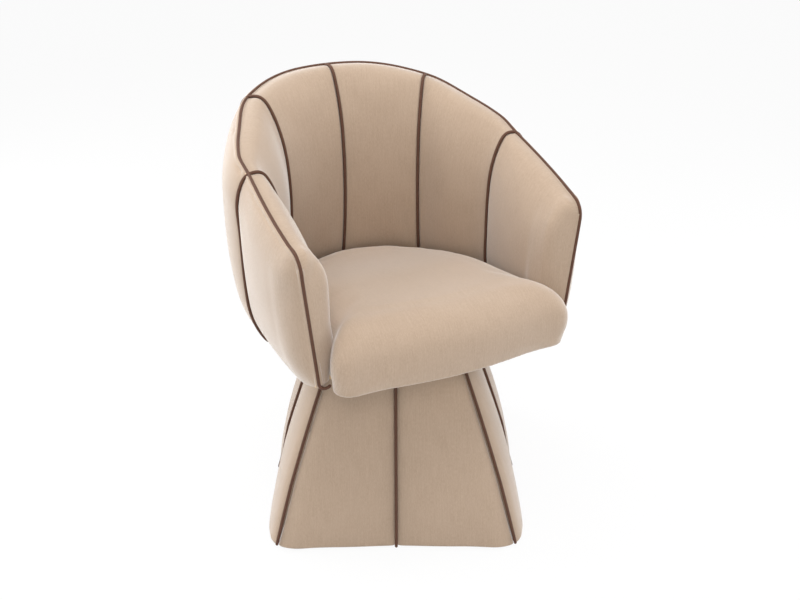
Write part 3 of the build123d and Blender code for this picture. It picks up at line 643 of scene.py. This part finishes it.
# Petals of the tub: six inside and six outside the bent wall, foam under chenille.
# Each is sewn to its neighbours at a corded seam and pulled over the edge of the wall.
seat_turn = radians(25.0)
tub_radius = 0.254
tub_centre = 0.052
tub_flare = 0.085
rim_height = 0.660
rim_slope = 0.29
arm_reach = 0.200
arm_corner = 0.030
side_seam_aft = 0.020
shoulder_seam = radians(45.9)
shoulder_skew = radians(7.0)
seam_inset = 0.0004
petal_face = 54
petal_rows = 22
petal_crowd = 1.3
side_seam = arm_reach + side_seam_aft
shoulder = arm_reach + tub_centre + tub_radius * shoulder_seam
back_seam = arm_reach + tub_centre + tub_radius * pi / 2
tip_height = 0.374
arm_bow = 0.006
arm_bow_lead = 0.05
arm_bow_top = 0.56


def turned(side, aft, height=0.0):
    """A place or a way in the axes of the seat, in the axes of the frame."""
    x = side * cos(seat_turn) - aft * sin(seat_turn)
    y = side * sin(seat_turn) + aft * cos(seat_turn)
    return np.array([x, y, height])


def wall_plane(side, along):
    """A plane across the wall, by the way along the rim from the front edge of the arm: a
    place near the rim and the level way out of the tub."""
    straight = tub_centre + arm_reach
    if along < straight:
        spot = turned(side * tub_radius, along - arm_reach, rim_height)
        return spot, turned(side, 0.0)
    turn = (along - straight) / tub_radius
    bow = sin(turn)
    aft = (tub_centre + tub_radius * bow) / (1 - tub_flare * rim_slope * bow)
    radius = tub_radius + tub_flare * rim_slope * aft
    if turn < shoulder_seam:
        aim = turn + shoulder_skew * turn / shoulder_seam
    else:
        aim = turn + shoulder_skew * (pi / 2 - turn) / (pi / 2 - shoulder_seam)
    spot = turned(side * radius * cos(turn), aft, rim_height + rim_slope * aft)
    return spot, turned(side * cos(aim), sin(aim))


def sway(along, height):
    """How far the padding of an arm bows out off the wall: most at the rim, nothing at the foot."""
    share = np.clip((height - tip_height) / (arm_bow_top - tip_height), 0.0, 1.0)
    run = min(1.0, (along + arm_bow_lead) / (side_seam + arm_bow_lead))
    return share * arm_bow * sin(pi * run)


def half_width(height):
    """From the middle of the tub to the front edge of an arm."""
    return tub_radius + tub_flare * (height - rim_height) + sway(0.0, height)


def wall_edge(side, along):
    """The outer and the inner edge of the top of the wall."""
    spot, outward = wall_plane(side, along)
    loop = cut("tub_wall", spot, up, outward)
    outs = loop @ outward
    return loop[np.argmax(loop[:, 2] + outs)], loop[np.argmax(loop[:, 2] - outs)]


# The cloth over the edge of the wall.  Wrap_reach is by the way a petal faces, in or out: how
# thick its front stays on the wall and how far it leads past the edge.
edge_cover = 0.0012
wrap_taper = 0.02
wrap_least = 0.0055
wrap_reach = {-1: (0.011, 0.0014), 1: (0.005, 0.0008)}
wrap_end_lead = 0.0026
rim_roll = 0.010
rim_roll_share = 0.8
rim_rise = 0.0035
# The fill of an arm towards its front: at the foot, in its lower part and below the rim.
arm_roll = 0.06
arm_round = 0.02
arm_fill = 0.22
tip_fill = 0.026
low_fill = 0.044
low_rise = 0.06
low_top = 0.58
top_fill = 0.0065
top_reach = 0.09
top_depth = 0.03
top_spread = 0.04
corner_thick = 4.0


def edge_way(along):
    """Off the edge of the wall in its own plane: up along the rim, and forward round the
    corner of an arm."""
    lean = max(0.0, 1 - along / arm_corner)
    thick = 1 + corner_thick * lean * (1 - lean)
    return thick * ((1 - lean**2) ** 0.5 * up - lean * turned(0.0, 1.0))


def petal_outline(node, side, along, facing):
    """The outline of a petal, its cloth drawn over the edge of the wall to the rim cord."""
    spot, outward = wall_plane(side, along)
    out = facing * outward
    face, back = face_and_back(node, spot, up, out)
    edges = wall_edge(side, along)
    near = edges[0] if facing > 0 else edges[1]
    middle = (edges[0] + edges[1]) / 2
    roll = rim_roll if facing < 0 else edge_cover
    first = np.argmax((face - near) @ out > roll)
    off = edge_way(along)
    over = [middle + edge_cover * (out + off), near + edge_cover * out + 2 * edge_cover * off]
    if facing < 0:
        rise = max(rim_rise, face[first][2] - near[2])
        over.append(near + rim_roll_share * roll * out + rise * off)
    paths = np.vstack([over, face[first:]]), back
    return [points + np.outer(sway(along, points[:, 2]), outward) for points in paths]


def roll_front(outlines, stations, side, facing):
    """Fill the padding of an arm out towards its front: inside it ends in a blunt roll, fuller
    to the foot, and outside it comes in to the edge of the wall on a long curve."""
    full = np.argmax(stations > arm_roll)
    outward = turned(side, 0.0)
    radius, fill = (arm_round, arm_fill) if facing < 0 else (arm_roll, 0.0)
    for number in range(len(stations))[::-1]:
        face = even_points(outlines[number][0], petal_face, petal_crowd)
        depth = facing * (face @ outward - half_width(face[:, 2]))
        if number == full:
            reference = depth
        blunt = (1 - max(0.0, 1 - stations[number] / radius) ** 2) ** 0.5
        wanted = depth if number >= full else reference * blunt
        wanted = wanted * (1 + fill * (1 - stations[number] / side_seam))
        if facing < 0 and number < full:
            above = np.clip((face[:, 2] - tip_height) / low_rise, 0.0, 1.0)
            least = tip_fill + (low_fill - tip_fill) * above
            low = np.clip((low_top - face[:, 2]) / low_rise, 0.0, 1.0)
            wanted = wanted + low * np.maximum(0.0, least * blunt - wanted)
        if facing < 0:
            roll = np.exp(-(((face[0, 2] - face[:, 2] - top_depth) / top_spread) ** 2))
            wanted = wanted + top_fill * max(0.0, 1 - stations[number] / top_reach) * blunt * roll
        outlines[number][0] = face + facing * np.outer(wanted - depth, outward)


def wrap_front(outline, side, facing, reach, lead):
    """The outline at the front of an arm again, drawn in to the wall and carried past its edge:
    reach is how thick it stays on the wall, lead how far ahead of the edge it ends."""
    paths = []
    fore = -arm_reach - lead
    for path in outline:
        below = np.clip((outline[0][0][2] - path[:, 2]) / wrap_taper, 0.0, 1.0)
        least = min(reach, wrap_least)
        half = half_width(path[:, 2]) + facing * (least + (reach - least) * below)
        places = zip(half, path[:, 2])
        paths.append(np.array([turned(side * width, fore, height) for width, height in places]))
    return paths


arm_start = 0.0012
seam_sinks = {0: 0.003, 1: 0.001, -1: 0.003, -2: 0.001}
stretches = {"arm": (arm_start, side_seam), "side": (side_seam, shoulder), "back": (shoulder, back_seam)}
outer_plump = {"arm": 0.0, "side": 0.007, "back": 0.003}
petals = {}
for side_name, side in (("left", -1), ("right", 1)):
    for layer, facing in (("inner", -1), ("outer", 1)):
        for place, (start, stop) in stretches.items():
            node = f"{layer}_{side_name}_{place}"
            stations = with_hem(start + seam_inset, stop - seam_inset, petal_rows)
            outlines = [petal_outline(node, side, along, facing) for along in stations]
            if place == "arm":
                roll_front(outlines, stations, side, facing)
                outlines.insert(0, wrap_front(outlines[0], side, facing, *wrap_reach[facing]))
                outlines.insert(0, wrap_front(outlines[1], side, facing, edge_cover, wrap_end_lead))
            pad = Pad(node, outlines, petal_face, petal_crowd)
            if layer == "outer":
                pad.plump(outer_plump[place])
            pad.lay_thread(*pad.spans())
            petals[layer, side_name, place] = pad
stuff(list(petals.values()), slack=0.002, swell=0.004, pressure=4.0)
for (layer, side_name, place), pad in petals.items():
    for row, depth in seam_sinks.items():
        if place != "arm" or row < 0:
            pad.sink(row, depth)
    pad.finish("seat", fill=0.85)


# Seam and rim piping of the tub: the same brown cord along every seam, over the rim and
# down the front of both arms, where it hooks in under the padding.
seam_start = 4
seam_smoothing = 6
rim_lift = 0.0008
front_lift = 0.0026
hook_radius = 0.0115
hook_drop = 0.003
hook_turn = radians(130)
hook_steps = 10
front_start = 1.5 * hook_radius
front_steps = 20
corner_turn = radians(80)
corner_steps = 8
corner_gap = 0.012
rim_end_gap = 0.001
rim_steps = 60
rim_run = (1 + rim_slope**2) ** 0.5
corner_aft = arm_corner - arm_reach
corner_height = rim_height + rim_slope * corner_aft - arm_corner * rim_run


def rim_spot(side, along):
    """The middle of the rim cord, by the way along the rim."""
    middle = sum(wall_edge(side, along)) / 2
    return middle + sway(along, middle[2]) * wall_plane(side, along)[1] + rim_lift * up


def seam_path(layer, side, along, first, second):
    """From the rim cord along the seam between two petals."""
    face = petals[layer, first[0], first[1]].grid[-1, :petal_face]
    nearest_row = 0 if second[0] == first[0] else -1
    other = petals[layer, second[0], second[1]].grid[nearest_row, :petal_face]
    path = np.vstack([rim_spot(side, along), (face + other)[seam_start:] / 2])
    path = even_points(path, 2 * petal_face)
    for _ in range(seam_smoothing):
        path[1:-1] = (path[:-2] + 2 * path[1:-1] + path[2:]) / 4
    return path


def seam_paths(layer):
    """The five seams of a layer: two on each side and one up the middle of the back."""
    paths = []
    for side_name, side in (("left", -1), ("right", 1)):
        arm, flank, back = ((side_name, place) for place in stretches)
        paths.append(seam_path(layer, side, side_seam, arm, flank))
        paths.append(seam_path(layer, side, shoulder, flank, back))
    paths.append(seam_path(layer, -1, back_seam - seam_inset, ("left", "back"), ("right", "back")))
    return paths


def half_rim(side):
    """From the hook under the arm up its front edge, round its corner and along the rim."""
    path = []
    reach = arm_reach + front_lift
    tip = tip_height - hook_drop
    for turn in np.linspace(hook_turn, 0, hook_steps):
        inward = half_width(tip + hook_radius) - hook_radius + hook_radius * cos(turn)
        path.append(turned(side * inward, -reach, tip + hook_radius - hook_radius * sin(turn)))
    for height in np.linspace(tip + front_start, corner_height, front_steps):
        path.append(turned(side * half_width(height), -reach, height))
    for turn in np.linspace(corner_turn, np.arctan(rim_slope), corner_steps):
        lift = rim_lift + (front_lift - rim_lift) * sin(turn)
        height = corner_height + (arm_corner + lift) * cos(turn)
        aft = corner_aft - (arm_corner + lift) * sin(turn)
        path.append(turned(side * half_width(height), aft, height))
    corner_end = arm_reach + corner_aft - arm_corner * rim_slope / rim_run
    for along in np.linspace(corner_end + corner_gap, back_seam - rim_end_gap, rim_steps):
        path.append(rim_spot(side, along))
    return np.array(path)


piping("inner_seam_piping", "seat", seam_paths("inner"))
piping("outer_seam_piping", "seat", seam_paths("outer"))
piping("rim_piping", "seat", [np.vstack([half_rim(-1), half_rim(1)[::-1]])])


# Seat cushion: a firm foam core under a crowned foam pad in the same chenille.
# The cover is one piece over the top and the front, drawn in at the seat board.
foam = Finish("firm_foam", Specular_IOR_Level=0.1, Roughness=0.95)
pale_foam = (0.75, 0.66, 0.45, 1)
deep_foam = (0.55, 0.46, 0.28, 1)
cells = foam.node("ShaderNodeTexVoronoi", None, {"Vector": foam.place(), "Scale": 700.0})
foam.show("Base Color", foam.mix(cells, pale_foam, deep_foam))
foam.bump(cells, depth=0.0006, strength=0.7)
dress(foam, "seat_core")

cushion_voxel = 0.006
cushion_smooth = 0.5
cushion_smooth_rounds = 4


class Cushion(Filled):
    """The cushion, remeshed evenly so that its cover can swell."""

    def __init__(self, node):
        carrier = bpy.data.objects.new(f"{node}_even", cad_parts[node].data.copy())
        bpy.context.scene.collection.objects.link(carrier)
        remesh = carrier.modifiers.new("remesh", "REMESH")
        remesh.mode = "VOXEL"
        remesh.voxel_size = cushion_voxel
        even = carrier.modifiers.new("even", "SMOOTH")
        even.factor = cushion_smooth
        even.iterations = cushion_smooth_rounds
        bpy.context.view_layer.update()
        ready = bpy.context.evaluated_depsgraph_get()
        mesh = bpy.data.meshes.new_from_object(carrier.evaluated_get(ready))
        bpy.data.objects.remove(carrier)
        super().__init__(node, mesh)

    def held(self):
        """The points on the seat board."""
        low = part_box(self.node)[0]
        return self.form[:, 2] < low.z + cushion_voxel


def ease(value, low, high):
    """0 below low, 1 above high and smooth from one to the other."""
    share = np.clip((value - low) / (high - low), 0.0, 1.0)
    return share * share * (3 - 2 * share)


corner_reach = 0.004
corner_aft_span = (0.06, 0.17)
corner_side_span = (0.08, 0.2)
rear_drop = 0.037
rear_span = (-0.06, 0.2)
cushion = Cushion("seat_cushion")
cushion_low, cushion_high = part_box("seat_cushion")
aft = cushion.form @ turned(0.0, 1.0)
aside = cushion.form @ turned(1.0, 0.0)
at_corner = ease(-aft, *corner_aft_span) * ease(abs(aside), *corner_side_span)
spread = corner_reach * np.sign(aside) * at_corner
drop = rear_drop * ease(aft, *rear_span) * ease(cushion.form[:, 2], cushion_low.z, cushion_high.z)
cushion.mould(cushion.form + np.outer(spread, turned(1.0, 0.0)) - np.outer(drop, up))
cushion.lay_thread(aside, aft + cushion.form[:, 2])
stuff([cushion], slack=0.002, swell=0.004, pressure=4.0)
cushion.finish("seat", fill=0.8)


# Floor: a plain sheet of pale paper, laid flat under the chair and wide enough to fill the main view.
# It shows near white to the camera and in polished metal, and keeps a trace of the shadow.
floor_reach = 12.0
paper_grey = (0.80, 0.80, 0.80, 1)
paper_white = (0.84, 0.84, 0.84, 1)
glow_share = 0.93
floor_mesh = bpy.data.meshes.new("floor")
floor_corners = [(x * floor_reach, y * floor_reach, 0.0) for x, y in ((-1, -1), (1, -1), (1, 1), (-1, 1))]
floor_mesh.from_pydata(floor_corners, [], [(0, 1, 2, 3)])
floor = bpy.data.objects.new("floor", floor_mesh)
bpy.context.scene.collection.objects.link(floor)
paper = Finish("white_paper_floor", Roughness=0.9, Specular_IOR_Level=0.1)
paper.show("Base Color", paper.mix(paper.clouds(paper.place(), scale=3.0), paper_grey, paper_white))
glow = paper.node("ShaderNodeEmission", None, {"Color": (1, 1, 1, 1), "Strength": 1.0})
paper_shader = Value(paper, paper.tree.nodes["Principled BSDF"].outputs[0])
rays = paper.node("ShaderNodeLightPath").socket.node.outputs
seen = Value(paper, rays["Is Camera Ray"])
for ray in ("Is Glossy Ray", "Is Transmission Ray"):
    seen = seen.math("MAXIMUM", seen, Value(paper, rays[ray]))
shown = paper.node("ShaderNodeMixShader", None, {0: seen * glow_share, 1: paper_shader, 2: glow})
paper.feed(paper.tree.nodes["Material Output"].inputs["Surface"], shown)
floor_mesh.materials.append(paper.material)


# Light: soft boxes with wide cloth faces, one behind at the left, one above and one in front,
# and a weak one behind at the right, all turned to the middle of the chair in a white room.
middle_of_chair = Vector((0.0, 0.0, 0.45))


def soft_box(name, place, size, power):
    """A square lamp that faces the middle of the chair."""
    light = bpy.data.lights.new(name, "AREA")
    light.size = size
    light.energy = power
    lamp = bpy.data.objects.new(name, light)
    lamp.location = place
    lamp.rotation_euler = (middle_of_chair - Vector(place)).to_track_quat("-Z", "Y").to_euler()
    bpy.context.scene.collection.objects.link(lamp)


soft_box("left_box", (-1.95, 0.8, 1.35), size=1.5, power=44.0)
soft_box("right_box", (1.95, 0.5, 0.9), size=1.2, power=16.0)
soft_box("top_box", (0.0, -0.2, 2.8), size=1.8, power=43.0)
soft_box("front_box", (0.2, -2.6, 1.9), size=1.6, power=34.0)
room = bpy.data.worlds.new("white_room")
room.use_nodes = True
room_light = room.node_tree.nodes["Background"].inputs
room_light["Color"].default_value = (1.0, 1.0, 1.0, 1)
room_light["Strength"].default_value = 0.46
bpy.context.scene.world = room


# Camera: about chest high in front of the chair, looking down on the seat.
# Its lens, place and turns were fitted to the square base and to the seams of the tub.
look_down = 27.48
look_right = 0.606
eye = bpy.data.cameras.new("eye")
eye.sensor_width = 36.0
eye.lens = 44.96
viewer = bpy.data.objects.new("eye", eye)
viewer.location = (-0.0081, -1.6354, 1.2374)
viewer.rotation_euler = (radians(90.0 - look_down), 0.0, -radians(look_right))
bpy.context.scene.collection.objects.link(viewer)
bpy.context.scene.camera = viewer
bpy.context.scene.view_settings.view_transform = "Standard"
